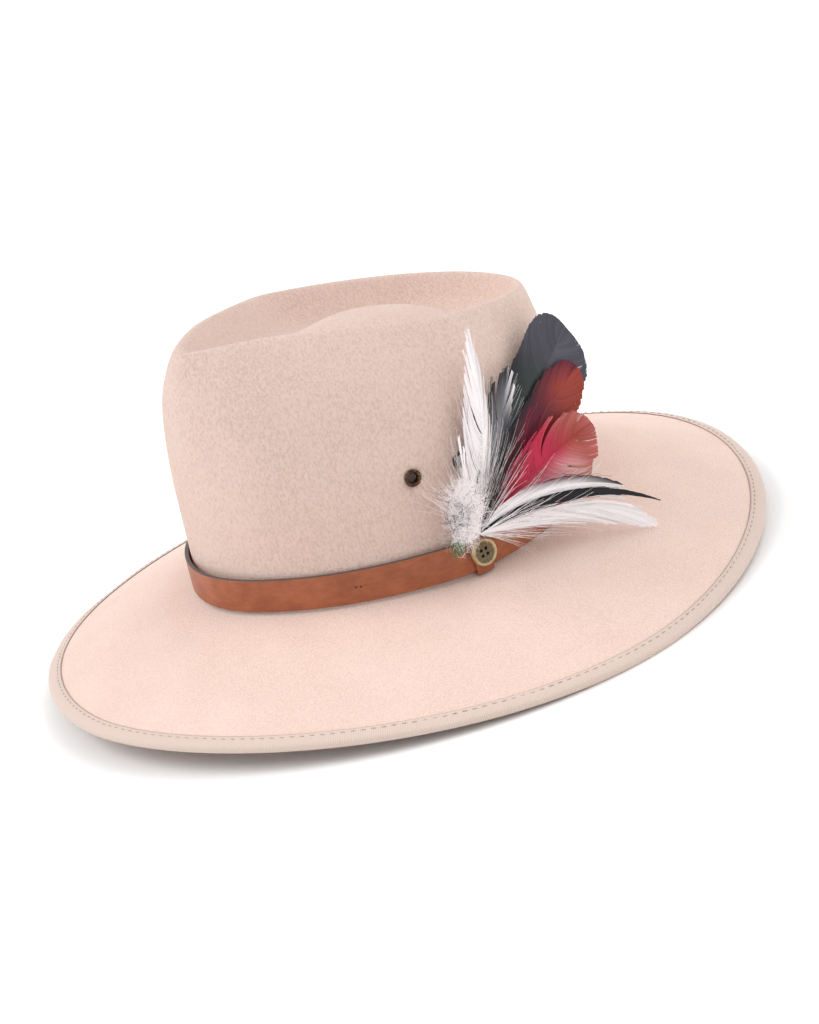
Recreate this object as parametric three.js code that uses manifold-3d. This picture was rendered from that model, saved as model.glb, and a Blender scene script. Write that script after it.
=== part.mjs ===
// A wide-brim felt fedora: one felt body, a ribbon round the brim's edge, a leather band with its keeper
// and button, four vent eyelets and a bundle of feathers on the wearer's left.
// Millimetres, Z up, the front along -Y, the wearer's left along +X, the origin on the floor under the brim.
import * as THREE from "three";
import { mergeVertices } from "three/addons/utils/BufferGeometryUtils.js";
import Module from "manifold-3d";

const wasm = await Module();
wasm.setup();

// Felt: the crown's foot, the crest of its top and the brim, all outside sizes
const felt_wall = 2;
const crown_length = 203;
const crown_width = 166.5;
const crest_front = 92;
const crest_back = 92;
const crest_width = 125;
const crown_height = 111;
const crest_slope = 0.205;
const nose_start = 47;
const nose_droop = 6.8;
const nose_flat = 0.985;
const recess_depth = 20;
const recess_centre = 20;
const brim_length = 365.5;
const brim_width = 341;
const brim_squareness = 1.86;
const brim_drop = 27.2;
const brim_wave = 5.6;
const brim_curve = 1.3;
const foot_wave = 2.6;
const foot_round = 1.2;

// Ribbon that binds the brim's edge
const ribbon_wall = 1;
const ribbon_width = 6.8;
const ribbon_gap = 0.3;
const rest_flat = 0.5;

// Leather band, its keeper and the button
const band_height = 15.3;
const band_wall = 2;
const band_seat = 1.6;
const band_gap = 0.5;
const front_slack = 2.4;
const front_spread = 16;
const quill_slack = 2.6;
const quill_lead = 3;
const quill_spread = 16;
const keeper_angle = 77.5;
const keeper_width = 9;
const keeper_wall = 1.2;
const keeper_gap = 0.35;
const button_radius = 6.7;
const button_height = 2.8;
const button_rim = 1.3;
const button_dish = 0.9;
const button_rise = 8.5;
const button_holes = 4;
const button_hole = 0.8;
const button_hole_circle = 1.9;
const button_gap = 0.3;

// Vent eyelets
const eyelet_height = 51.4;
const eyelet_front_angle = 64;
const eyelet_rear_angle = 81;
const eyelet_radius = 4.4;
const eyelet_bore = 2.1;
const eyelet_wall = 0.6;
const eyelet_gap = 0.3;

// Feathers, set in behind the band beside the keeper
const feather_seat_angle = 76;
const feather_seat_gap = 1.5;
const feather_stand = 1.2;
const root_wall = 0.4;
const blade_wall = 0.9;
const root_gap = 0.35;
const layer_gap = 0.8;
const blade_spread = 45;
const feather_fall = 0.00115;
const feather_splay = 0.2;
const splay_from = 55;
const splay_to = 110;
const plume_length = 106;
const plume_width = 44;
const tip_breadth = 0.06;

// How finely round forms are cut
const columns = 72;
const front_crowding = 0.35;
const lathe_sides = 16;
const hole_sides = 8;
const blade_steps = 10;
const blade_strips = 2;
const broad_blade = 24;
const broad_strips = 4;

const finishes = {
  felt: { color: 0xf0dcd2, roughness: 0.95 },
  ribbon: { color: 0xdccabf, roughness: 0.8 },
  leather: { color: 0xb4704a, roughness: 0.6 },
  brass: { color: 0xb79a63, roughness: 0.4, metalness: 0.9 },
  bronze: { color: 0x6b4a38, roughness: 0.4, metalness: 0.9 },
};
const feather_roughness = 0.8;

// Small helpers
const radians = THREE.MathUtils.degToRad;
const degrees = THREE.MathUtils.radToDeg;
const mix = THREE.MathUtils.lerp;
const bump = (angle, centre, spread) => Math.exp(-(((angle - centre) / spread) ** 2));

// The row of a table at a value of its first column, on a straight line between two rows
function readTable(rows, at) {
  const next = Math.max(1, rows.findIndex((row) => row[0] >= at));
  const [low, high] = [rows[next - 1], rows[next]];
  const share = (at - low[0]) / (high[0] - low[0]);
  return low.map((value, column) => mix(value, high[column], share));
}

// The angles of the columns, in radians from the front, closer together round the nose
const angles = Array.from({ length: columns }, (_, i) => {
  const even = (2 * Math.PI * i) / columns;
  return even - front_crowding * Math.sin(even);
});

// Distance from the middle to an oval's edge at an angle; a power of 2 is an ellipse, less is pointed.
function ovalRadius(angle, halfWidth, front, back, power) {
  const across = Math.abs(Math.sin(angle)) / halfWidth;
  const along = Math.abs(Math.cos(angle)) / (Math.cos(angle) > 0 ? front : back);
  return (across ** power + along ** power) ** (-1 / power);
}

// Crown levels: height as a share of the crest's, then the width, the front's and the back's reach as shares
// of the foot's, then the power of the front's oval
const crown_levels = [
  [0.0, 1.0, 1.0, 0.985, 2.0],
  [0.25, 0.988, 0.995, 0.955, 2.0],
  [0.5, 0.969, 0.985, 0.94, 2.0],
  [0.64, 0.944, 0.985, 0.93, 1.87],
  [0.73, 0.922, 0.99, 0.925, 1.74],
  [0.81, 0.895, 0.995, 0.925, 1.58],
  [0.88, 0.855, 0.995, 0.92, 1.38],
  [0.95, 0.8, 0.975, 0.925, 1.22],
];
// How far the flat of the nose reaches: height as a share of the crest's, then a share of the foot's front
const nose_levels = [
  [0.0, 1.2],
  [0.5, 1.1],
  [0.64, 1.0],
  [0.81, 0.965],
  [0.88, 0.953],
  [0.95, 0.93],
];
const crest_power = 1.15;
const nose_sharpness = 24;
const back_power = 2.1;

// The pinched front is cut off by a flat nose, with the corners eased.
function pinchedRadius(angle, halfWidth, front, back, power, nose) {
  const backing = Math.cos(angle) > 0 ? power : back_power;
  const side = ovalRadius(angle, halfWidth, front, back, backing);
  if (Math.cos(angle) <= 0) return side;
  const flat = nose / Math.cos(angle);
  return (side ** -nose_sharpness + flat ** -nose_sharpness) ** (-1 / nose_sharpness);
}

const crestRadius = (angle) =>
  pinchedRadius(angle, crest_width / 2, crest_front / nose_flat, crest_back, crest_power, crest_front);

// Height of the crest over the foot by its place along the hat: it falls to the back and droops at the nose.
function crestHeight(y) {
  const droop = Math.max(0, -y - nose_start) / (crest_front - nose_start);
  return crown_height - crest_slope * y - nose_droop * droop ** 2;
}
const crestAt = (angle) => crestHeight(-crestRadius(angle) * Math.cos(angle));

const onPlan = (angle, radius, height, centre = 0) =>
  new THREE.Vector3(radius * Math.sin(angle), centre - radius * Math.cos(angle), height);

const footHeight = (angle) => foot_wave * Math.cos(2 * angle);

// A point of the crown's outside, by the share of the way up from its foot to its crest
function crownPoint(angle, share) {
  const [, width, front, back, power] = readTable(crown_levels, share);
  const [, nose] = readTable(nose_levels, share);
  const halfWidth = (width * crown_width) / 2;
  const halfLength = crown_length / 2;
  const radius = pinchedRadius(
    angle, halfWidth, front * halfLength, back * halfLength, power, nose * halfLength,
  );
  return onPlan(angle, radius, mix(footHeight(angle), crestAt(angle), share));
}

// The share up the crown at which a height over the foot lies
const crownShare = (angle, height) => height / (crestAt(angle) - footHeight(angle));

// A place on the crown and the direction that its felt faces
function crownSeat(angleDegrees, height) {
  const angle = radians(angleDegrees);
  const step = 0.01;
  const share = crownShare(angle, height);
  const point = crownPoint(angle, share);
  const around = crownPoint(angle + step, share).sub(crownPoint(angle - step, share));
  const upward = crownPoint(angle, share + step).sub(crownPoint(angle, share - step));
  return { point, normal: around.cross(upward).normalize() };
}

// The top's recess: share of the crest's outline, then depth under the crest as a share of the recess's
const recess_rings = [
  [1.0, 0.0],
  [0.95, 0.2],
  [0.88, 0.56],
  [0.8, 0.86],
  [0.7, 1.0],
  [0.56, 0.78],
  [0.38, 0.48],
  [0.18, 0.32],
];

function recessPoint(angle, share, depth) {
  const crest = onPlan(angle, crestRadius(angle), 0);
  const x = crest.x * share;
  const y = mix(recess_centre, crest.y, share);
  return new THREE.Vector3(x, y, crestHeight(y) - recess_depth * depth);
}

// The brim: share of the way out from the crown's foot to its edge
const brim_shares = [1, 0.82, 0.62, 0.42, 0.22];

function brimPoint(angle, share) {
  const foot = crownPoint(angle, 0);
  const edge = onPlan(
    angle,
    ovalRadius(angle, brim_width / 2, brim_length / 2, brim_length / 2, brim_squareness),
    brim_wave * Math.cos(2 * angle) - brim_drop,
  );
  const out = foot.clone().lerp(edge, share);
  out.z = mix(foot.z, edge.z, share ** brim_curve);
  return out;
}

// Closes rows of points into one skin. A tube's two ends are capped; a ring's last row meets its first.
// Each row runs anticlockwise seen from the rows that follow it.
function skin(rows, isRing) {
  const size = rows[0].length;
  const points = rows.flat();
  const faces = [];
  const strips = isRing ? rows.length : rows.length - 1;
  for (let i = 0; i < strips; i++) {
    const here = i * size;
    const next = ((i + 1) % rows.length) * size;
    for (let j = 0; j < size; j++) {
      const k = (j + 1) % size;
      faces.push(here + j, here + k, next + k);
      faces.push(here + j, next + k, next + j);
    }
  }
  if (!isRing) {
    const last = (rows.length - 1) * size;
    const middle = (row) => row.reduce((sum, p) => sum.add(p), new THREE.Vector3()).divideScalar(size);
    const start = points.push(middle(rows[0])) - 1;
    const end = points.push(middle(rows[rows.length - 1])) - 1;
    for (let j = 0; j < size; j++) {
      const k = (j + 1) % size;
      faces.push(start, k, j);
      faces.push(end, last + j, last + k);
    }
  }
  const geometry = new THREE.BufferGeometry().setFromPoints(points);
  geometry.setIndex(faces);
  return geometry;
}

// Geometry to a solid and back, for cuts
function solidOf(geometry) {
  const bare = geometry.clone();
  bare.deleteAttribute("normal");
  bare.deleteAttribute("uv");
  const merged = mergeVertices(bare);
  return new wasm.Manifold(
    new wasm.Mesh({
      numProp: 3,
      vertProperties: merged.attributes.position.array,
      triVerts: new Uint32Array(merged.index.array),
    }),
  );
}

function geometryOf(solid) {
  const mesh = solid.getMesh();
  const geometry = new THREE.BufferGeometry();
  geometry.setAttribute("position", new THREE.BufferAttribute(mesh.vertProperties, 3));
  geometry.setIndex(new THREE.BufferAttribute(mesh.triVerts, 1));
  return geometry;
}

// Turns and moves a shape made round the Z axis so that Z points along a direction at a place.
function standOn(geometry, place, direction) {
  const turn = new THREE.Quaternion().setFromUnitVectors(new THREE.Vector3(0, 0, 1), direction);
  return geometry.applyQuaternion(turn).translate(place.x, place.y, place.z);
}

const hat = new THREE.Group();

function addPiece(name, geometry, finish) {
  geometry.computeVertexNormals();
  const mesh = new THREE.Mesh(geometry, new THREE.MeshStandardMaterial(finish));
  mesh.name = name;
  hat.add(mesh);
}

// Felt body: rows from the top's middle down the outside to the brim's edge, and back underneath
function feltRows() {
  const rows = [];
  for (const [share, depth] of recess_rings.toReversed())
    rows.push(angles.map((angle) => recessPoint(angle, share, depth)));
  for (const [share] of crown_levels.slice(1).toReversed())
    rows.push(angles.map((angle) => crownPoint(angle, share)));
  rows.push(angles.map((angle) => crownPoint(angle, crownShare(angle, foot_round))));
  const footShare = foot_round / ((brim_width - crown_width) / 2);
  for (const share of [...brim_shares, footShare].toReversed())
    rows.push(angles.map((angle) => brimPoint(angle, share)));
  return rows;
}

// The felt's direction outward at a point of the rows
function rowNormal(rows, i, j) {
  const before = rows[Math.max(i - 1, 0)][j];
  const after = rows[Math.min(i + 1, rows.length - 1)][j];
  const size = rows[i].length;
  const left = rows[i][(j + size - 1) % size];
  const right = rows[i][(j + 1) % size];
  const down = after.clone().sub(before);
  const around = right.clone().sub(left);
  return down.cross(around).normalize();
}

const outside_rows = feltRows();
const inside_rows = outside_rows.map((row, i) =>
  row.map((point, j) => point.clone().addScaledVector(rowNormal(outside_rows, i, j), -felt_wall)),
);
const felt_rows = [...inside_rows, ...outside_rows.toReversed()];
let felt_solid = solidOf(skin(felt_rows, false));

// Eyelets: a barrel through the felt with a flange on each face
const eyelets = [
  ["eyelet_left_front", eyelet_front_angle],
  ["eyelet_left_rear", eyelet_rear_angle],
  ["eyelet_right_front", -eyelet_front_angle],
  ["eyelet_right_rear", -eyelet_rear_angle],
];
for (const [name, angle] of eyelets) {
  const { point, normal } = crownSeat(angle, eyelet_height);
  const hole_radius = eyelet_bore + eyelet_wall + eyelet_gap;
  const hole = new THREE.CylinderGeometry(hole_radius, hole_radius, 4 * felt_wall, lathe_sides);
  hole.rotateX(Math.PI / 2);
  felt_solid = felt_solid.subtract(solidOf(standOn(hole, point, normal)));
  const face = eyelet_gap;
  const back = -felt_wall - eyelet_gap;
  const barrel = eyelet_bore + eyelet_wall;
  const profile = [
    [eyelet_bore, back - eyelet_wall],
    [eyelet_radius, back - eyelet_wall],
    [eyelet_radius, back],
    [barrel, back],
    [barrel, face],
    [eyelet_radius, face],
    [eyelet_radius - eyelet_wall, face + 2 * eyelet_wall],
    [eyelet_bore, face + eyelet_wall],
    [eyelet_bore, back - eyelet_wall],
  ];
  const ring = new THREE.LatheGeometry(profile.map(([r, h]) => new THREE.Vector2(r, h)), lathe_sides);
  ring.rotateX(Math.PI / 2);
  addPiece(name, standOn(ring, point, normal), finishes.bronze);
}
addPiece("felt_body", geometryOf(felt_solid), finishes.felt);

// Binding: a U of ribbon swept round the brim's edge. Its section is measured out along the brim and up
// off it, from the corner of the felt's top and its edge.
const under_felt = -felt_wall - ribbon_gap;
const ribbon_out = ribbon_gap + ribbon_wall;
const ribbon_section = [
  [-ribbon_width, ribbon_gap],
  [-ribbon_width, ribbon_out],
  [ribbon_gap, ribbon_out],
  [ribbon_out, 0],
  [ribbon_out, -felt_wall],
  [ribbon_gap, under_felt - ribbon_wall],
  [-ribbon_width, under_felt - ribbon_wall],
  [-ribbon_width, under_felt],
  [ribbon_gap, under_felt],
  [ribbon_gap, ribbon_gap],
];
const edge_row = outside_rows.length - 1;
const ribbon_rows = angles.map((_, j) => {
  const corner = outside_rows[edge_row][j];
  const up = rowNormal(outside_rows, edge_row, j);
  const out = corner.clone().sub(outside_rows[edge_row - 1][j]);
  out.addScaledVector(up, -out.dot(up)).normalize();
  return ribbon_section.map(([u, v]) => corner.clone().addScaledVector(out, u).addScaledVector(up, v));
});
const ribbon = skin(ribbon_rows, true);
ribbon.computeBoundingBox();
const floor_height = ribbon.boundingBox.min.z + rest_flat;
const above_floor = new THREE.BoxGeometry(2 * brim_length, 2 * brim_length, brim_length);
above_floor.translate(0, 0, floor_height + brim_length / 2);
addPiece("brim_binding", geometryOf(solidOf(ribbon).intersect(solidOf(above_floor))), finishes.ribbon);

// Leather band: slack over the nose and where the quills pass behind it
const bandSlack = (angle) => {
  const turn = degrees(Math.atan2(Math.sin(angle), Math.cos(angle)));
  const over_nose = front_slack * bump(turn, 0, front_spread);
  const over_quills = quill_slack * bump(turn, keeper_angle - quill_lead, quill_spread);
  return band_gap + over_nose + over_quills;
};
function bandPoint(angle, height, offset) {
  const { point, normal } = crownSeat(degrees(angle), height);
  normal.setZ(0).normalize();
  return point.addScaledVector(normal, bandSlack(angle) + offset);
}
const band_rows = angles.map((angle) => {
  const low = band_seat;
  const high = band_seat + band_height;
  return [
    bandPoint(angle, low, 0),
    bandPoint(angle, high, 0),
    bandPoint(angle, high, band_wall),
    bandPoint(angle, low, band_wall),
  ];
});
addPiece("leather_band", skin(band_rows, true), finishes.leather);

// Keeper: a narrow leather loop right round the band's section, in the band's own directions there
const band_foot = bandPoint(radians(keeper_angle), band_seat, 0);
const keeper_up = bandPoint(radians(keeper_angle), band_seat + band_height, 0).sub(band_foot).normalize();
const keeper_along = bandPoint(radians(keeper_angle + 1), band_seat, 0);
keeper_along.sub(bandPoint(radians(keeper_angle - 1), band_seat, 0)).normalize();
const keeper_out = keeper_along.cross(keeper_up).normalize();
const keeper_place = band_foot.clone().addScaledVector(keeper_up, band_height / 2);
keeper_place.addScaledVector(keeper_out, band_wall / 2);
const rectangle = (shape, width, height) => {
  shape.moveTo(-width / 2, -height / 2);
  shape.lineTo(width / 2, -height / 2);
  shape.lineTo(width / 2, height / 2);
  shape.lineTo(-width / 2, height / 2);
  shape.closePath();
  return shape;
};
const inner_depth = band_wall + 2 * keeper_gap;
const inner_height = band_height + 2 * keeper_gap;
const outer_depth = inner_depth + 2 * keeper_wall;
const outer_height = inner_height + 2 * keeper_wall;
const keeper_shape = rectangle(new THREE.Shape(), outer_depth, outer_height);
keeper_shape.holes.push(rectangle(new THREE.Path(), inner_depth, inner_height));
const keeper = new THREE.ExtrudeGeometry(keeper_shape, { depth: keeper_width, bevelEnabled: false });
keeper.translate(0, 0, -keeper_width / 2);
const keeper_side = keeper_out.clone().cross(keeper_up);
keeper.applyMatrix4(new THREE.Matrix4().makeBasis(keeper_out, keeper_up, keeper_side));
keeper.translate(keeper_place.x, keeper_place.y, keeper_place.z);
addPiece("keeper_loop", keeper, finishes.leather);

// Button: a dished disc with a raised rim and four sewing holes
const button_profile = [
  [0, 0],
  [button_radius - button_dish, 0],
  [button_radius, button_height / 2],
  [button_radius - button_rim / 2, button_height],
  [button_radius - button_rim, button_height - button_dish / 2],
  [button_radius - 2 * button_rim, button_height - button_dish],
  [0, button_height - button_dish],
];
const button_points = button_profile.map(([r, h]) => new THREE.Vector2(r, h));
const disc = new THREE.LatheGeometry(button_points, 2 * lathe_sides);
disc.rotateX(Math.PI / 2);
let button_solid = solidOf(disc);
for (let i = 0; i < button_holes; i++) {
  const turn = (2 * Math.PI * (i + 0.5)) / button_holes;
  const hole = new THREE.CylinderGeometry(button_hole, button_hole, 4 * button_height, hole_sides);
  hole.rotateX(Math.PI / 2);
  hole.translate(button_hole_circle * Math.cos(turn), button_hole_circle * Math.sin(turn), 0);
  button_solid = button_solid.subtract(solidOf(hole));
}
const button_place = keeper_place.clone();
button_place.addScaledVector(keeper_up, button_rise - band_height / 2);
button_place.addScaledVector(keeper_out, inner_depth / 2 + keeper_wall + button_gap);
addPiece("button", standOn(geometryOf(button_solid), button_place, keeper_out), finishes.brass);

// Feathers: thin blades in layers on a sheet that leaves the crown at their seat. Lean is from upright
// towards the back, and curl is how far that turns by the tip, both in degrees. Length and width are shares
// of the broadest plume's, and point is the share of the length over which the blade narrows to its tip.
// Columns: name, layer, lean, curl, length, width, point, colour
const feathers = [
  ["feather_black_broad", 0, 49, 12, 1.0, 1.0, 0.14, 0x2b3038],
  ["feather_red_upper", 1, 55, 16, 0.93, 0.59, 0.2, 0x8c2f2a],
  ["feather_grizzled", 2, 30, 6, 0.73, 0.5, 0.3, 0x8a8a8c],
  ["feather_white_tall", 3, 24, -16, 0.86, 0.5, 0.5, 0xefe9e2],
  ["feather_red_lower", 4, 66, 18, 0.75, 0.73, 0.2, 0xa63a3a],
  ["feather_side_white", 5, 82, 62, 0.87, 0.3, 0.3, 0xe9e6e0],
  ["feather_side_black", 6, 74, 60, 0.83, 0.18, 0.5, 0x1d1f22],
  ["feather_side_upper", 7, 66, 62, 0.7, 0.2, 0.4, 0xd8d6d0],
  ["down_tuft", 8, -24, -30, 0.29, 0.5, 0.3, 0xe4e2de],
];
const seat_height = band_seat + band_height + keeper_gap + keeper_wall + feather_seat_gap;
const seat = bandPoint(radians(feather_seat_angle), seat_height, 0);

// How far the sheet stands from the seat's plane, by distance from the seat and by lean
function sheetOut(distance, lean) {
  const splayed = THREE.MathUtils.smoothstep(lean, splay_from, splay_to);
  return mix(-feather_fall * distance ** 2, feather_splay * distance, splayed);
}
const spreadShare = (distance) => Math.min(1, distance / blade_spread);
const bladeWall = (distance) => mix(root_wall, blade_wall, spreadShare(distance));
const layerPitch = (distance) => bladeWall(distance) + mix(root_gap, layer_gap, spreadShare(distance));

// Breadth along a blade: share of its length, then share of its width
const blade_breadth = [
  [0.0, 0.06],
  [0.2, 0.3],
  [0.45, 0.8],
  [0.7, 1.0],
  [1.0, 1.0],
];

// A blade's breadth at a share of its length, rounded off over its point
function bladeBreadth(share, point) {
  const into = Math.max(0, (share - 1 + point) / point);
  const [, breadth] = readTable(blade_breadth, share);
  return breadth * Math.max(tip_breadth, Math.sqrt(1 - into ** 2));
}

// A place on a blade's inner face, and the one over it on its outer face
function bladePoint(y, z, layer) {
  const distance = Math.hypot(y, z);
  const lean = degrees(Math.atan2(y, z));
  const inner = feather_stand + sheetOut(distance, lean) + layer * layerPitch(distance);
  const place = (out) => new THREE.Vector3(seat.x + out, seat.y + y, seat.z + z);
  return { inner: place(inner), outer: place(inner + bladeWall(distance)) };
}

// A blade's rows from its root to its tip: across its outer face, then back across its inner face
function bladeRows(layer, lean, curl, length, width, point) {
  const rows = [];
  const strips = width > broad_blade ? broad_strips : blade_strips;
  let y = 0;
  let z = 0;
  for (let i = 0; i <= blade_steps; i++) {
    const share = Math.sin((Math.PI / 2) * (i / blade_steps));
    const next = Math.sin((Math.PI / 2) * ((i + 1) / blade_steps));
    const heading = radians(lean + curl * share);
    const half = (bladeBreadth(share, point) * width) / 2;
    const places = Array.from({ length: strips + 1 }, (_, j) => {
      const across = mix(-half, half, j / strips);
      return bladePoint(y + Math.cos(heading) * across, z - Math.sin(heading) * across, layer);
    });
    rows.push([...places.map((place) => place.outer), ...places.toReversed().map((place) => place.inner)]);
    y += Math.sin(heading) * length * (next - share);
    z += Math.cos(heading) * length * (next - share);
  }
  return rows;
}
for (const [name, layer, lean, curl, length, width, point, colour] of feathers) {
  const rows = bladeRows(layer, lean, curl, length * plume_length, width * plume_width, point);
  addPiece(name, skin(rows, false), { color: colour, roughness: feather_roughness });
}

hat.position.z = -floor_height;
const fedora = new THREE.Group();
fedora.add(hat);

export default fedora;
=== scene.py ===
import math
import random

import bmesh
import bpy
from mathutils import Matrix, Quaternion, Vector
from mathutils.bvhtree import BVHTree


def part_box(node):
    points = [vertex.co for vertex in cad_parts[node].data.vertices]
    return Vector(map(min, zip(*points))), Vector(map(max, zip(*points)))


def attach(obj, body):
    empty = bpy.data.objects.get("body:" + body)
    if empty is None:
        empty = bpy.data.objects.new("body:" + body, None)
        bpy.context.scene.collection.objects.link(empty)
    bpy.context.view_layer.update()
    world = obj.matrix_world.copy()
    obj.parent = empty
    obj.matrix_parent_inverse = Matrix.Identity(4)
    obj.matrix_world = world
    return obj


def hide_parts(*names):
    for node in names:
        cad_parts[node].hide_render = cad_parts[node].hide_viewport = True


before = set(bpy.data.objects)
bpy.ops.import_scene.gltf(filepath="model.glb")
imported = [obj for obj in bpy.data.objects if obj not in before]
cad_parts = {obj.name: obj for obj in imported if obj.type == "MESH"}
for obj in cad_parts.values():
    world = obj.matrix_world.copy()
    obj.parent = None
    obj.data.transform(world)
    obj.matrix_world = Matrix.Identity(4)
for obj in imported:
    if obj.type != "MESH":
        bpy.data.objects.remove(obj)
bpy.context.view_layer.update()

MM = 0.001

# Camera: it stands off the wearer's left front, a little above the brim, and leans with the hat's tilt
# in the picture. Its aim is near the middle of the crown's foot.
camera_azimuth = math.radians(55.2)
camera_elevation = math.radians(21.0)
camera_roll = math.radians(-14.4)
camera_distance = 1.359
camera_lens = 100.5
sensor_width = 36
camera_aim = Vector((0, 9.5, 36.1)) * MM
camera_back = Vector((
    math.sin(camera_azimuth) * math.cos(camera_elevation),
    -math.cos(camera_azimuth) * math.cos(camera_elevation),
    math.sin(camera_elevation),
))
camera_data = bpy.data.cameras.new("camera")
camera_data.lens = camera_lens
camera_data.sensor_width = sensor_width
camera = bpy.data.objects.new("camera", camera_data)
bpy.context.scene.collection.objects.link(camera)
camera.rotation_mode = "QUATERNION"
camera.location = camera_aim + camera_back * camera_distance
camera.rotation_quaternion = (-camera_back).to_track_quat("-Z", "Y") @ Quaternion((0, 0, 1), camera_roll)
bpy.context.scene.camera = camera
bpy.context.scene.view_settings.view_transform = "Standard"


# Floor and light: a seamless white table, an even white room, and a broad soft light from each side of the
# picture, the stronger one from its left.
class Paint:
    """A shader socket that Python's signs work on: each sum adds its Math node to the tree."""

    def __init__(self, tree, socket=None):
        self.tree = tree
        self.socket = socket

    def node(self, kind, settings=None, inputs=None, output=0):
        made = self.tree.nodes.new(kind)
        for name, value in (settings or {}).items():
            setattr(made, name, value)
        for name, value in (inputs or {}).items():
            if isinstance(value, Paint):
                self.tree.links.new(value.socket, made.inputs[name])
            else:
                made.inputs[name].default_value = value
        return Paint(self.tree, made.outputs[output])

    def math(self, operation, *values):
        return self.node("ShaderNodeMath", {"operation": operation}, dict(enumerate(values)))

    def __add__(self, other):
        return self.math("ADD", self, other)

    def __radd__(self, other):
        return self.math("ADD", other, self)

    def __sub__(self, other):
        return self.math("SUBTRACT", self, other)

    def __rsub__(self, other):
        return self.math("SUBTRACT", other, self)

    def __mul__(self, other):
        return self.math("MULTIPLY", self, other)

    def __rmul__(self, other):
        return self.math("MULTIPLY", other, self)

    def ease(self, low, high):
        """0 below low, 1 above high, and smooth between."""
        settings = {"interpolation_type": "SMOOTHSTEP"}
        return self.node("ShaderNodeMapRange", settings, {"Value": self, "From Min": low, "From Max": high})

    def blend(self, low, high):
        """A colour between two, by this mask."""
        low, high = (end if isinstance(end, Paint) else (*end, 1) for end in (low, high))
        colour_low, colour_high, colour_out = 6, 7, 2
        inputs = {"Factor": self, colour_low: low, colour_high: high}
        return self.node("ShaderNodeMix", {"data_type": "RGBA"}, inputs, colour_out)

    def noise(self, size_mm, detail=3.0, roughness=0.6, stretch=(1, 1, 1)):
        """Even noise at this place, with spots about size_mm across, drawn out where stretch is small."""
        place = self.node("ShaderNodeMapping", {}, {"Vector": self, "Scale": stretch})
        inputs = {"Vector": place, "Scale": 1 / (size_mm * MM), "Detail": detail, "Roughness": roughness}
        return self.node("ShaderNodeTexNoise", {}, inputs)

    def axis(self, name):
        return self.node("ShaderNodeSeparateXYZ", {}, {"Vector": self}, name)

    def far_from(self, spot):
        """Distance from a spot in millimetres."""
        settings = {"operation": "DISTANCE"}
        return self.node("ShaderNodeVectorMath", settings, {0: self, 1: spot}, "Value") * (1 / MM)

    def bump(self, height_mm, strength=1.0):
        inputs = {"Height": self, "Distance": height_mm * MM, "Strength": strength}
        return self.node("ShaderNodeBump", {}, inputs)


def new_finish(name):
    """A new material, and the place on the object that its patterns are worked out from."""
    material = bpy.data.materials.new(name)
    material.use_nodes = True
    material.node_tree.nodes.clear()
    return material, Paint(material.node_tree).node("ShaderNodeTexCoord", {}, {}, "Object")


def fill_finish(place, **sockets):
    inputs = {key.replace("_", " "): value for key, value in sockets.items()}
    shader = place.node("ShaderNodeBsdfPrincipled", {}, inputs)
    out = place.tree.nodes.new("ShaderNodeOutputMaterial")
    place.tree.links.new(shader.socket, out.inputs["Surface"])


floor_half = 6.0
table_white = (0.97, 0.97, 0.97, 1)
room_white = (1, 1, 1, 1)
room_strength = 0.76
work = bmesh.new()
bmesh.ops.create_grid(work, x_segments=1, y_segments=1, size=floor_half)
floor_mesh = bpy.data.meshes.new("floor")
work.to_mesh(floor_mesh)
work.free()
floor = bpy.data.objects.new("floor", floor_mesh)
bpy.context.scene.collection.objects.link(floor)
floor_finish, place = new_finish("white_table")
fill_finish(place, Base_Color=table_white, Roughness=0.95, Specular_IOR_Level=0.0)
floor_mesh.materials.append(floor_finish)

world = bpy.data.worlds.new("room")
bpy.context.scene.world = world
world.use_nodes = True
room = world.node_tree.nodes["Background"]
room.inputs["Color"].default_value = room_white
room.inputs["Strength"].default_value = room_strength

lamps = [
    # name, direction that it stands in, how wide it looks in degrees, strength
    ("left", (-0.72, -0.70, 0.85), 40, 1.40),
    ("right", (0.40, 0.90, 1.15), 60, 1.05),
]
for lamp_name, lamp_side, lamp_width, lamp_strength in lamps:
    lamp_data = bpy.data.lights.new(lamp_name, "SUN")
    lamp_data.angle = math.radians(lamp_width)
    lamp_data.energy = lamp_strength
    lamp = bpy.data.objects.new(lamp_name, lamp_data)
    bpy.context.scene.collection.objects.link(lamp)
    lamp.rotation_mode = "QUATERNION"
    lamp.rotation_quaternion = Vector(lamp_side).to_track_quat("Z", "Y")


# Felt body: the crown and brim are blocked from one piece of brushed wool felt, about 2 mm thick. Its nap
# is short hair that catches the light as fine mottling, coarser on the crown than on the pressed brim.
felt_light = (0.89, 0.68, 0.595)
felt_deep = (0.74, 0.54, 0.46)
felt_sheen = (1.0, 0.94, 0.91, 1)
crown_foot = 0.042
crown_fade = 0.012
crown_nap_mm, brim_nap_mm, drift_mm = 1.1, 0.8, 30
brim_contrast = 0.5
drift_share = 0.12
mottle_low, mottle_high = 0.36, 0.58
nap_height_mm = 1.0
weld_distance = 0.002 * MM
flat_within = math.radians(50)
square_within = math.radians(120)


def copy_of(node):
    """A node's own faces, joined up and paired into quads, for a finer surface to be made on."""
    work = bmesh.new()
    work.from_mesh(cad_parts[node].data)
    bmesh.ops.remove_doubles(work, verts=work.verts, dist=weld_distance)
    bmesh.ops.join_triangles(
        work, faces=work.faces, cmp_seam=False, cmp_sharp=False, cmp_uvs=False, cmp_vcols=False,
        cmp_materials=False, angle_face_threshold=flat_within, angle_shape_threshold=square_within,
    )
    return work


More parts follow.
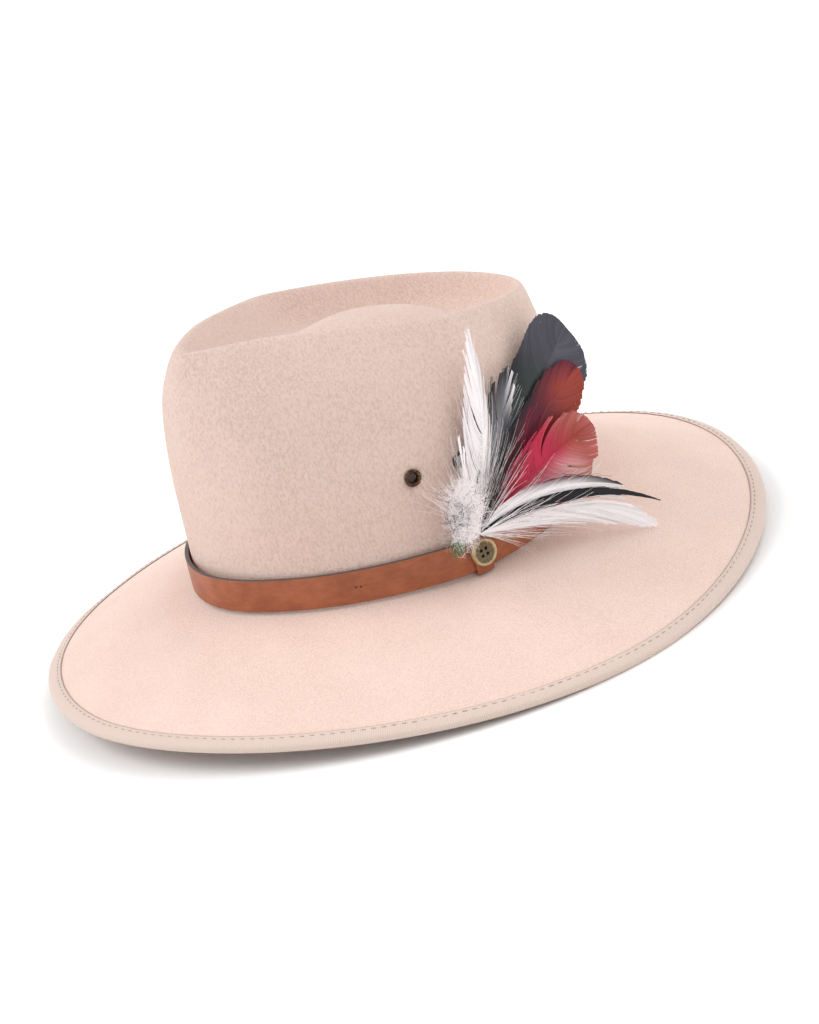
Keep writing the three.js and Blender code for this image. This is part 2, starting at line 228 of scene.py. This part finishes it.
def new_piece(name, work, material, slot, *nodes):
    """Links finished faces as a smooth piece that rides with the hat and stands for its nodes."""
    for face in work.faces:
        face.smooth = True
    mesh = bpy.data.meshes.new(name)
    work.to_mesh(mesh)
    work.free()
    piece = bpy.data.objects.new(name, mesh)
    bpy.context.scene.collection.objects.link(piece)
    mesh.materials.clear()
    mesh.materials.append(material)
    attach(piece, "root")
    if nodes:
        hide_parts(*nodes)
    return piece


def subdivide(piece, levels):
    finer = piece.modifiers.new("finer", "SUBSURF")
    finer.levels = levels
    finer.render_levels = levels


felt, place = new_finish("brushed_felt")
on_crown = place.axis("Z").ease(crown_foot, crown_foot + crown_fade)
brushed = place.noise(crown_nap_mm, detail=4.0, roughness=0.8, stretch=(1, 1, 0.6))
pressed = place.noise(brim_nap_mm) * brim_contrast + (1 - brim_contrast) / 2
nap = on_crown * brushed + (1 - on_crown) * pressed
drift = place.noise(drift_mm, roughness=0.5)
mottle = (nap * (1 - drift_share) + drift * drift_share).ease(mottle_low, mottle_high)
fill_finish(
    place, Base_Color=mottle.blend(felt_deep, felt_light), Roughness=1.0, Normal=nap.bump(nap_height_mm),
    Sheen_Weight=0.3, Sheen_Roughness=0.5, Sheen_Tint=felt_sheen, Specular_IOR_Level=0.1,
)
felt_work = copy_of("felt_body")
felt_tree = BVHTree.FromBMesh(felt_work)
felt_body = new_piece("felt_hat_body", felt_work, felt, "felt", "felt_body")
subdivide(felt_body, 2)


# Brim binding: a ribbed ribbon folded over the cut edge of the brim, drawn in flat against the felt and
# sewn through near its inner edge. Its ribs run across it, about a millimetre apart.
rib_count = 1112
rib_height, weave_height = 0.8, 0.3
ribbon_relief_mm = 0.22
weave_mm = 0.45
ribbon_press = 0.45
ribbon_sink = 0.12 * MM
upper_side = 0.5
ribbon_light = (0.80, 0.635, 0.56)
ribbon_deep = (0.62, 0.49, 0.43)
ribbon, place = new_finish("ribbed_ribbon")
turn = place.math("ARCTAN2", place.axis("X"), place.axis("Y"))
rib = place.math("SINE", turn * float(rib_count)) * 0.5 + 0.5
weave = place.noise(weave_mm, detail=2.0)
fill_finish(
    place, Base_Color=(rib * 0.5 + weave * 0.5).blend(ribbon_deep, ribbon_light), Roughness=0.75,
    Normal=(rib * rib_height + weave * weave_height).bump(ribbon_relief_mm, strength=0.8),
    Sheen_Weight=0.2, Sheen_Roughness=0.4, Specular_IOR_Level=0.25,
)
ribbon_work = copy_of("brim_binding")
for vert in ribbon_work.verts:
    spot, facing, _, _ = felt_tree.find_nearest(vert.co)
    if facing.z > upper_side and vert.co.z > spot.z:
        vert.co = spot + (vert.co - spot) * ribbon_press - facing * ribbon_sink
ribbon_tree = BVHTree.FromBMesh(ribbon_work)
binding = new_piece("brim_ribbon", ribbon_work, ribbon, "ribbon", "brim_binding")
subdivide(binding, 1)


# Binding stitches: a row of short lockstitches in thread of the ribbon's own colour, sunk a little into
# it, and coloured darker than the ribbon as painted shade for their dimples. They are set in from its
# inner edge, clear of the first millimetres, which lie down in the felt.
stitch_count = 240
stitch_length = 2.6
stitch_breadth = 0.6
breadth_to_half_height = 3
stitch_inset = 3.4 * MM
search_from = 0.13
search_step = 0.2 * MM
twist_mm = 0.3
thread_relief_mm = 0.08
# The thread is coloured darker than the ribbon: painted shade for the stitches' dimples.
thread_light_in_painted_shade = (0.60, 0.48, 0.42)
thread_deep_in_painted_shade = (0.36, 0.28, 0.24)
thread, place = new_finish("sewing_thread_painted_shade")
twist = place.noise(twist_mm, detail=2.0, roughness=0.5)
fill_finish(
    place, Base_Color=twist.blend(thread_deep_in_painted_shade, thread_light_in_painted_shade), Roughness=0.6,
    Normal=twist.bump(thread_relief_mm),
)
_, felt_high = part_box("felt_body")
above = Vector((0, 0, felt_high[2]))
down = Vector((0, 0, -1))
work = bmesh.new()
for index in range(stitch_count):
    around = 2 * math.pi * index / stitch_count
    outward = Vector((math.sin(around), -math.cos(around), 0))
    reach = search_from
    while not ribbon_tree.ray_cast(above + outward * reach, down)[0]:
        reach += search_step
    spot, up, _, _ = ribbon_tree.ray_cast(above + outward * (reach + stitch_inset), down)
    along = up.cross(outward).normalized()
    across = along.cross(up)
    half_length = along * stitch_length / 2
    half_breadth = across * stitch_breadth / 2
    half_height = up * stitch_breadth / breadth_to_half_height
    axes = Matrix((half_length, half_breadth, half_height)) * MM
    turn_in = Matrix.Translation(spot) @ axes.transposed().to_4x4()
    bmesh.ops.create_icosphere(work, subdivisions=1, radius=1, matrix=turn_in)
new_piece("binding_stitches", work, thread, "ribbon")


# Leather band and keeper: tan straps cut from one hide, smooth on the face, with dark cut edges and a dark
# back. Two awl holes stand side by side on the band's left front.
leather_light = (0.42, 0.125, 0.050)
leather_deep = (0.28, 0.072, 0.028)
leather_edge = (0.095, 0.075, 0.07)
# Near-black painted shade for the hollow of each awl hole, which in the surface is only a dent in the bump.
awl_hole_painted_shade = (0.02, 0.01, 0.008)
awl_holes = [(0.0619, -0.0716, 0.0451), (0.0633, -0.0698, 0.0448)]
awl_radius = 0.45
awl_soft = 0.3
awl_edge = (awl_radius * (1 - awl_soft), awl_radius * (1 + awl_soft))
awl_depth = 2.0
grain_mm, cloud_mm, pull_mm = 0.8, 13, 5
leather_relief_mm = 0.14
edge_segments = 3


def round_edges(piece, width_mm, sharper_than):
    """Rounds off the edges that turn by more than this many degrees."""
    rounded = piece.modifiers.new("rounded_edges", "BEVEL")
    rounded.width = width_mm * MM
    rounded.segments = edge_segments
    rounded.limit_method = "ANGLE"
    rounded.angle_limit = math.radians(sharper_than)


leather, place = new_finish("tan_leather")
grain = place.noise(grain_mm, detail=4.0, roughness=0.65)
cloud = place.noise(cloud_mm, roughness=0.55)
pull = place.noise(pull_mm, detail=2.0, roughness=0.5, stretch=(1, 1, 3))
facing = place.node("ShaderNodeNewGeometry", {}, {}, "Normal")
cut = place.math("ABSOLUTE", facing.axis("Z")).ease(0.45, 0.75)
tan = (cloud * 0.55 + pull * 0.3 + grain * 0.25).ease(0.35, 0.75).blend(leather_deep, leather_light)
# Awl holes: spots of painted shade, each with a dent.
pricked = 1 - place.far_from(awl_holes[0]).ease(*awl_edge)
pricked = pricked + 1 - place.far_from(awl_holes[1]).ease(*awl_edge)
fill_finish(
    place, Base_Color=pricked.blend(cut.blend(tan, leather_edge), awl_hole_painted_shade), Roughness=0.36 + grain * 0.2,
    Normal=(grain * 0.6 + pull * 0.4 - pricked * awl_depth).bump(leather_relief_mm, strength=0.6),
    Specular_IOR_Level=0.4,
)
for strap_name, strap_node in (("hat_band", "leather_band"), ("band_keeper", "keeper_loop")):
    strap = new_piece(strap_name, copy_of(strap_node), leather, "leather", strap_node)
    round_edges(strap, width_mm=0.4, sharper_than=40)


# Button: a cast brass button with a raised rim, darkened in the dish, with four bare sewing holes. It sits
# on the keeper's face.
button_low, button_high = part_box("button")
button_middle = tuple((low + high) / 2 for low, high in zip(button_low, button_high))
rim_from, rim_to = 4.9, 5.8
rub_mm, pit_mm = 2.5, 0.5
worn_deep = (0.42, 0.31, 0.16)
worn_light = (0.62, 0.50, 0.29)
dish_deep = (0.10, 0.08, 0.05)
dish_light = (0.22, 0.17, 0.10)
brass_relief_mm = 0.05
brass, place = new_finish("old_brass")
rub = place.noise(rub_mm)
pits = place.noise(pit_mm, detail=2.0)
rim = (place.far_from(button_middle) + rub * 0.5).ease(rim_from, rim_to)
worn_brass = rub.ease(0.3, 0.7).blend(worn_deep, worn_light)
dark_brass = pits.ease(0.35, 0.65).blend(dish_deep, dish_light)
fill_finish(
    place, Base_Color=rim.blend(dark_brass, worn_brass), Metallic=0.8, Roughness=0.34 + rub * 0.2,
    Normal=pits.bump(brass_relief_mm, strength=0.5),
)
button = new_piece("brass_button", copy_of("button"), brass, "button_metal", "button")
round_edges(button, width_mm=0.3, sharper_than=25)


# Vent eyelets: rolled brass rings, blackened brown, two on each side of the crown. Each stands in a hole
# that is cut through the felt.
bronze_rub_mm = 1.2
bronze_deep = (0.05, 0.025, 0.015)
bronze_light = (0.26, 0.15, 0.09)
bronze, place = new_finish("dark_bronze")
rub = place.noise(bronze_rub_mm)
fill_finish(
    place, Base_Color=rub.ease(0.4, 0.7).blend(bronze_deep, bronze_light), Metallic=0.8, Roughness=0.4,
    Normal=rub.bump(brass_relief_mm, strength=0.4),
)
for node in sorted(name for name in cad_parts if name.startswith("eyelet")):
    ring = new_piece("ring_" + node, copy_of(node), bronze, "eyelet_metal", node)
    subdivide(ring, 2)


# Feathers: a mixed bundle pushed in behind the band, its quills hidden. Each has a tapering shaft and two
# vanes of barbs. Closed vanes lie smooth, and loose ones part into pointed locks.
seat = Vector((84.0, -20.6, 53.1)) * MM
feather_stand = 1.2 * MM
feather_fall = 1.15
feather_splay = 0.2
splay_from, splay_to = 55.0, 110.0
root_pitch, blade_pitch, blade_spread = 0.75 * MM, 1.7 * MM, 45 * MM
spine_steps = 60
short_of_end = 0.001
outline_steps = 200
barb_steps = 7
barb_pitch = 0.24 * MM
bare_foot = 0.05
foot_breadth = 0.06
lowest_root = 0.01
middle_from, middle_to = 0.2, 0.5
tip_from, tip_to = 0.65, 0.88
strand_slope = 0.25


def smooth_share(value, low, high):
    share = min(1, max(0, (value - low) / (high - low)))
    return share * share * (3 - 2 * share)


def mixed(low, high, share):
    return tuple(a + (b - a) * share for a, b in zip(low, high))


def on_sheet(y, z, layer, lift=0.0):
    """A place on the sheet that the bundle lies on: back and up from the seat, and out by its layer."""
    distance = math.hypot(y, z)
    splayed = smooth_share(math.degrees(math.atan2(y, z)), splay_from, splay_to)
    fall = -feather_fall * distance ** 2 * (1 - splayed) + feather_splay * distance * splayed
    pitch = root_pitch + (blade_pitch - root_pitch) * min(1, distance / blade_spread)
    return seat + Vector((feather_stand + fall + (layer + 0.5) * pitch + lift, y, z))


def spine_of(lean, curl, length):
    """Places and headings along a shaft, in the sheet's own directions."""
    y = z = 0.0
    spine = []
    for step in range(spine_steps + 1):
        heading = math.radians(lean + curl * step / spine_steps)
        spine.append((y, z, heading))
        y += math.sin(heading) * length / spine_steps
        z += math.cos(heading) * length / spine_steps
    return spine


def beside_spine(spine, share, across, layer, lift=0.0):
    step = min(max(share, 0) * spine_steps, spine_steps - short_of_end)
    low = int(step)
    y, z, heading = (a + (b - a) * (step - low) for a, b in zip(spine[low], spine[low + 1]))
    return on_sheet(y + math.cos(heading) * across, z - math.sin(heading) * across, layer, lift)


def vane_breadth(share, widest, point, sharpness):
    """How far a vane reaches, as a share of its widest: narrow at the foot, and closing in at the tip."""
    into = max(0, (share - 1 + point) / point)
    breadth = foot_breadth + (1 - foot_breadth) * smooth_share(share, 0, widest)
    return breadth * max(0.0, 1 - into ** 2) ** sharpness


def barb_tips(length, breadth, *outline):
    """Shares of the length, evenly spaced along the vane's outline."""
    shares = []
    for step in range(outline_steps + 1):
        shares.append(bare_foot + (1 - bare_foot) * math.sin(math.pi / 2 * step / outline_steps))
    reaches = [breadth * vane_breadth(share, *outline) for share in shares]
    tips, walked = [], 0.0
    for step in range(outline_steps):
        rise = (shares[step + 1] - shares[step]) * length
        stretch = math.hypot(rise, reaches[step + 1] - reaches[step])
        while walked < stretch:
            tips.append(shares[step] + rise / length * walked / stretch)
            walked += barb_pitch
        walked -= stretch
    return tips


def barb_root(tip, advance):
    """Where on the shaft the barb that ends beside this share leaves it."""
    behind = (advance + math.sqrt(advance ** 2 + 4 * (1 - tip))) / 2
    return max(lowest_root, 1 - behind ** 2)


def along_colours(colours, share):
    low, middle, high = colours
    lower = mixed(low, middle, smooth_share(share, middle_from, middle_to))
    return mixed(lower, high, smooth_share(share, tip_from, tip_to))


def strip(places, half_start, half_end, colours):
    """A strand as its places, with half of its breadth across each and its colour there."""
    strand = []
    last = len(places) - 1
    for step, place in enumerate(places):
        ahead = places[min(step + 1, last)] - places[max(step - 1, 0)]
        across = ahead.cross(Vector((1, 0, 0))).normalized()
        half = half_start + (half_end - half_start) * step / last
        strand.append((place, (across + Vector((strand_slope, 0, 0))) * half, colours[step]))
    return strand


def grow_strips(work, tint, strands):
    """Draws all the strands out together, edge by edge, from their feet to their tips."""
    edges, lefts, faces = [], [], [None] * len(strands)
    for strand in strands:
        place, half, colour = strand[0]
        left, right = work.verts.new(place - half), work.verts.new(place + half)
        left[tint] = right[tint] = (*colour, 1)
        edges.append(work.edges.new((left, right)))
        lefts.append(left)
    for step in range(1, len(strands[0])):
        bmesh.ops.extrude_edge_only(work, edges=edges)
        for index, strand in enumerate(strands):
            place, half, colour = strand[step]
            loop = next(loop for loop in edges[index].link_loops if loop.face != faces[index])
            beyond = loop.link_loop_next.link_loop_next
            ends = [beyond.link_loop_next.vert, beyond.vert]
            if loop.vert != lefts[index]:
                ends.reverse()
            left, right = ends
            left.co, right.co = place - half, place + half
            left[tint] = right[tint] = (*colour, 1)
            edges[index], lefts[index], faces[index] = beyond.edge, left, loop.face


def strand_work(*bundles):
    """Bundles of strands as one mesh, with the strands' colours as its tint."""
    work = bmesh.new()
    tint = work.verts.layers.float_color.new("tint")
    for strands in bundles:
        grow_strips(work, tint, strands)
    return work


# Barbs glow faintly in their own tint: painted light that lifts them where they shade each other.
barbs_painted_glow_finish, place = new_finish("feather_barbs_painted_glow")
tint = place.node("ShaderNodeAttribute", {"attribute_name": "tint"})
fill_finish(
    place, Base_Color=tint, Emission_Color=tint, Emission_Strength=0.10, Roughness=0.45, Sheen_Weight=0.1,
    Sheen_Roughness=0.4, Specular_IOR_Level=0.3,
)

white = (0.90, 0.85, 0.86)
cream = (0.80, 0.74, 0.72)
ash = (0.15, 0.15, 0.17)
slate = (0.066, 0.062, 0.080)
moss = (0.030, 0.042, 0.038)
black = (0.012, 0.010, 0.013)
wine = (0.11, 0.008, 0.024)
crimson = (0.42, 0.016, 0.052)
rust = (0.30, 0.040, 0.024)
dusty = (0.44, 0.11, 0.10)
blush = (0.95, 0.72, 0.70)

# Each feather: its node and slot, layer out from the crown, lean and curl in degrees, length and the two
# vanes' breadths in mm (front, then back), the share at which it is widest, the share over which it closes
# in at its tip and how sharply, how far its barbs lie forward, how loose they are, and colours at its foot,
# middle and tip: beside the shaft, then at the front vane's and the back vane's outer ends
feathers = [
    dict(node="feather_black_broad", slot="feather_black", layer=0, lean=50, curl=10, length=109,
         vanes=(19, 22), widest=0.75, point=0.14, sharpness=0.35, advance=0.30, loose=0.10,
         inner=(black, moss, slate), front=(wine, black, slate), back=(black, moss, slate)),
    dict(node="feather_red_upper", slot="feather_red", layer=1, lean=54, curl=18, length=97,
         vanes=(12, 13), widest=0.75, point=0.22, sharpness=0.5, advance=0.35, loose=0.25,
         inner=(black, wine, rust), front=(black, black, wine), back=(wine, rust, rust)),
    dict(node="feather_grizzled", slot="feather_grey", layer=2, lean=32, curl=8, length=76,
         vanes=(13, 8), widest=0.7, point=0.4, sharpness=0.7, advance=0.42, loose=1.2,
         inner=(ash, ash, ash), front=(ash, black, black), back=(black, black, white)),
    dict(node="feather_white_tall", slot="feather_white", layer=3, lean=27, curl=-19, length=91,
         vanes=(13, 4.5), widest=0.5, point=0.6, sharpness=0.9, advance=0.36, loose=1.0,
         inner=(white, white, white), front=(white, white, white), back=(white, cream, white)),
    dict(node="feather_red_lower", slot="feather_red", layer=4, lean=64, curl=20, length=79.5,
         vanes=(13, 17), widest=0.7, point=0.3, sharpness=0.5, advance=0.35, loose=0.5,
         inner=(crimson, crimson, rust), front=(wine, crimson, dusty), back=(crimson, blush, dusty)),
    dict(node="feather_side_white", slot="feather_white", layer=5, lean=84, curl=52, length=92,
         vanes=(7, 7), widest=0.5, point=0.4, sharpness=0.8, advance=0.5, loose=1.1,
         inner=(white, white, white), front=(white, white, white), back=(white, cream, white)),
    dict(node="feather_side_black", slot="feather_black", layer=8, lean=75, curl=54, length=91,
         vanes=(2.0, 2.2), widest=0.5, point=0.7, sharpness=1.0, advance=0.5, loose=0.5,
         inner=(black, black, black), front=(black, black, black), back=(black, black, black)),
    dict(node="feather_side_upper", slot="feather_white", layer=7, lean=67, curl=56, length=76,
         vanes=(4.6, 4.6), widest=0.5, point=0.5, sharpness=0.8, advance=0.5, loose=0.6,
         inner=(white, white, cream), front=(white, wine, black), back=(white, white, cream)),
]

# Barbs hang together in locks: how many in each, and how the locks differ in reach, height in mm, shade
# and sweep
lock_barbs = (6, 24)
lock_reaches = (-0.20, 0.16)
lock_lifts = 0.8
lock_shades = (-0.12, 0.10)
barb_sweep = 1.4
lock_sweeps = (-0.25, 0.35)
gather = 0.6

# One barb within its lock: its raggedness, height in mm and shade, its bow and the run of its colours,
# and half of its breadth in a closed vane and what a loose one takes off it, in pitches, and its taper
ragged = 0.06
barb_lifts = 0.12
barb_shades = (0.84, 1.14)
barb_bow = 1.4
colour_run = 1.3
closed_half, looser_by, barb_taper = 1.5, 0.7, 0.65

# Barbs that have sprung out of a loose vane: how many, how far, how high in mm, and how fine
astray_share, astray_above = 0.12, 0.4
astray_reaches = (1.2, 2.0)
astray_lifts = (0, 2.5)
astray_half = 0.35

shaft_steps = 30
shaft_lift = 0.2 * MM
shaft_half_foot, shaft_half_tip = 0.4 * MM, 0.25 * MM


def feather_work(draw, layer, lean, curl, length, vanes, widest, point, sharpness, advance, loose,
                 inner, front, back):
    spine = spine_of(lean, curl, length * MM)
    outline = (widest, point, sharpness)
    laxity = min(1, loose)
    strands = []
    for side, breadth, outer in ((-1, vanes[0], front), (1, vanes[1], back)):
        tips = barb_tips(length * MM, breadth * MM, *outline)
        while tips:
            held = draw.randint(*lock_barbs)
            lock, tips = tips[:held], tips[held:]
            lock_tip = lock[-1]
            lock_reach = 1 + loose * draw.uniform(*lock_reaches)
            lock_lift = loose * draw.gauss(0, lock_lifts) * MM
            lock_shade = 1 + draw.uniform(*lock_shades)
            lock_sweep = barb_sweep + loose * draw.uniform(*lock_sweeps)
            for tip in lock:
                root = barb_root(tip, advance)
                drawn = tip + (lock_tip - tip) * gather * laxity
                reach = side * breadth * MM * vane_breadth(tip, *outline) * lock_reach
                reach *= 1 - ragged * draw.random()
                lift = lock_lift + barb_lifts * draw.gauss(0, 1) * MM
                astray = draw.random() < astray_share * (loose - astray_above)
                if astray:
                    reach *= draw.uniform(*astray_reaches)
                    lift += draw.uniform(*astray_lifts) * MM
                shade = lock_shade * draw.uniform(*barb_shades)
                places, colours = [], []
                for step in range(barb_steps + 1):
                    part = step / barb_steps
                    share = root + (tip + (drawn - tip) * part - root) * part ** lock_sweep
                    across = reach * (1 - (1 - part) ** barb_bow)
                    places.append(beside_spine(spine, share, across, layer, lift * part ** 2))
                    near, far = along_colours(inner, share), along_colours(outer, share)
                    colour = mixed(near, far, part ** colour_run)
                    colours.append(tuple(channel * shade for channel in colour))
                half = barb_pitch * (astray_half if astray else closed_half - looser_by * laxity)
                strands.append(strip(places, half, half * (1 - barb_taper * laxity), colours))
    shares = [step / shaft_steps for step in range(shaft_steps + 1)]
    places = [beside_spine(spine, share, 0, layer, shaft_lift) for share in shares]
    colours = [along_colours(inner, share) for share in shares]
    return strand_work(strands, [strip(places, shaft_half_foot, shaft_half_tip, colours)])


for feather in feathers:
    node, slot = feather.pop("node"), feather.pop("slot")
    work = feather_work(random.Random(node), **feather)
    new_piece("plume_" + node, work, barbs_painted_glow_finish, slot, node)


# Down tuft: the fluffy after-feathers at the foot of the bundle, fine white barbs that curl every way,
# with a few grey ones and a little green at its foot.
fern = (0.03, 0.16, 0.06)
down_puffs = [
    # back and up from the seat, spread and barb length in mm, other colour, its share, count
    (-6, 6, 2.2, 6.5, ash, 0.02, 440),
    (-11, 5, 2.4, 6.5, ash, 0.05, 360),
    (-12, 12, 2.6, 7.0, ash, 0.45, 300),
    (-10, 19, 2.6, 8.5, ash, 0.25, 260),
    (-7, 25, 2.6, 8.5, ash, 0.05, 260),
    (-2, 14, 2.0, 8.0, ash, 0.02, 300),
    (-16, 1, 1.8, 4.0, fern, 1.00, 110),
]
down_layer = 9
down_curls = 0.45
down_reaches = (0.5, 1.3)
down_lifts = 1.5
down_rises = 0.5
most_cream = 0.4
down_half_foot, down_half_tip = 0.10 * MM, 0.035 * MM
draw = random.Random("down")
strands = []
for puff_y, puff_z, spread, barb, other, other_share, count in down_puffs:
    for index in range(count):
        y = (puff_y + draw.gauss(0, spread)) * MM
        z = (puff_z + draw.gauss(0, spread)) * MM
        heading = draw.uniform(-math.pi, math.pi)
        curl = draw.gauss(0, down_curls)
        reach = barb * draw.uniform(*down_reaches) * MM
        lift = draw.gauss(0, down_lifts) * MM
        rise = draw.gauss(0, down_rises)
        colour = other if draw.random() < other_share else mixed(white, cream, draw.random() * most_cream)
        places = []
        for step in range(barb_steps + 1):
            places.append(on_sheet(y, z, down_layer, lift))
            y += math.sin(heading) * reach / barb_steps
            z += math.cos(heading) * reach / barb_steps
            lift += rise * reach / barb_steps
            heading += curl
        strands.append(strip(places, down_half_foot, down_half_tip, [colour] * len(places)))
new_piece("down_fluff", strand_work(strands), barbs_painted_glow_finish, "feather_white", "down_tuft")


# Stray barbs: long single hairs, white, cream and black, that have worked loose from their vanes. They
# start with the feathers at the band and stand off the bundle towards their ends.
stray_fans = [
    # lean from and to in degrees, length from and to in mm, colour, count
    (-42, 16, 18, 50, white, 70),
    (14, 42, 26, 58, cream, 34),
    (22, 52, 22, 50, black, 90),
    (40, 56, 24, 44, white, 20),
    (76, 100, 30, 66, white, 60),
    (96, 122, 14, 34, cream, 20),
]
stray_steps = 12
stray_curls = 14
stray_layers = (4, 9)
stray_lift = 2.5 * MM
stray_half_foot, stray_half_tip = 0.10 * MM, 0.03 * MM
draw = random.Random("strays")
strands = []
for lean_from, lean_to, length_from, length_to, colour, count in stray_fans:
    for index in range(count):
        lean = draw.uniform(lean_from, lean_to)
        length = draw.uniform(length_from, length_to) * MM
        spine = spine_of(lean, draw.gauss(0, stray_curls), length)
        layer = draw.uniform(*stray_layers)
        places = []
        for step in range(stray_steps + 1):
            share = step / stray_steps
            places.append(beside_spine(spine, share, 0, layer, stray_lift * share ** 2))
        strands.append(strip(places, stray_half_foot, stray_half_tip, [colour] * len(places)))
new_piece("stray_barbs", strand_work(strands), barbs_painted_glow_finish, "feather_white")
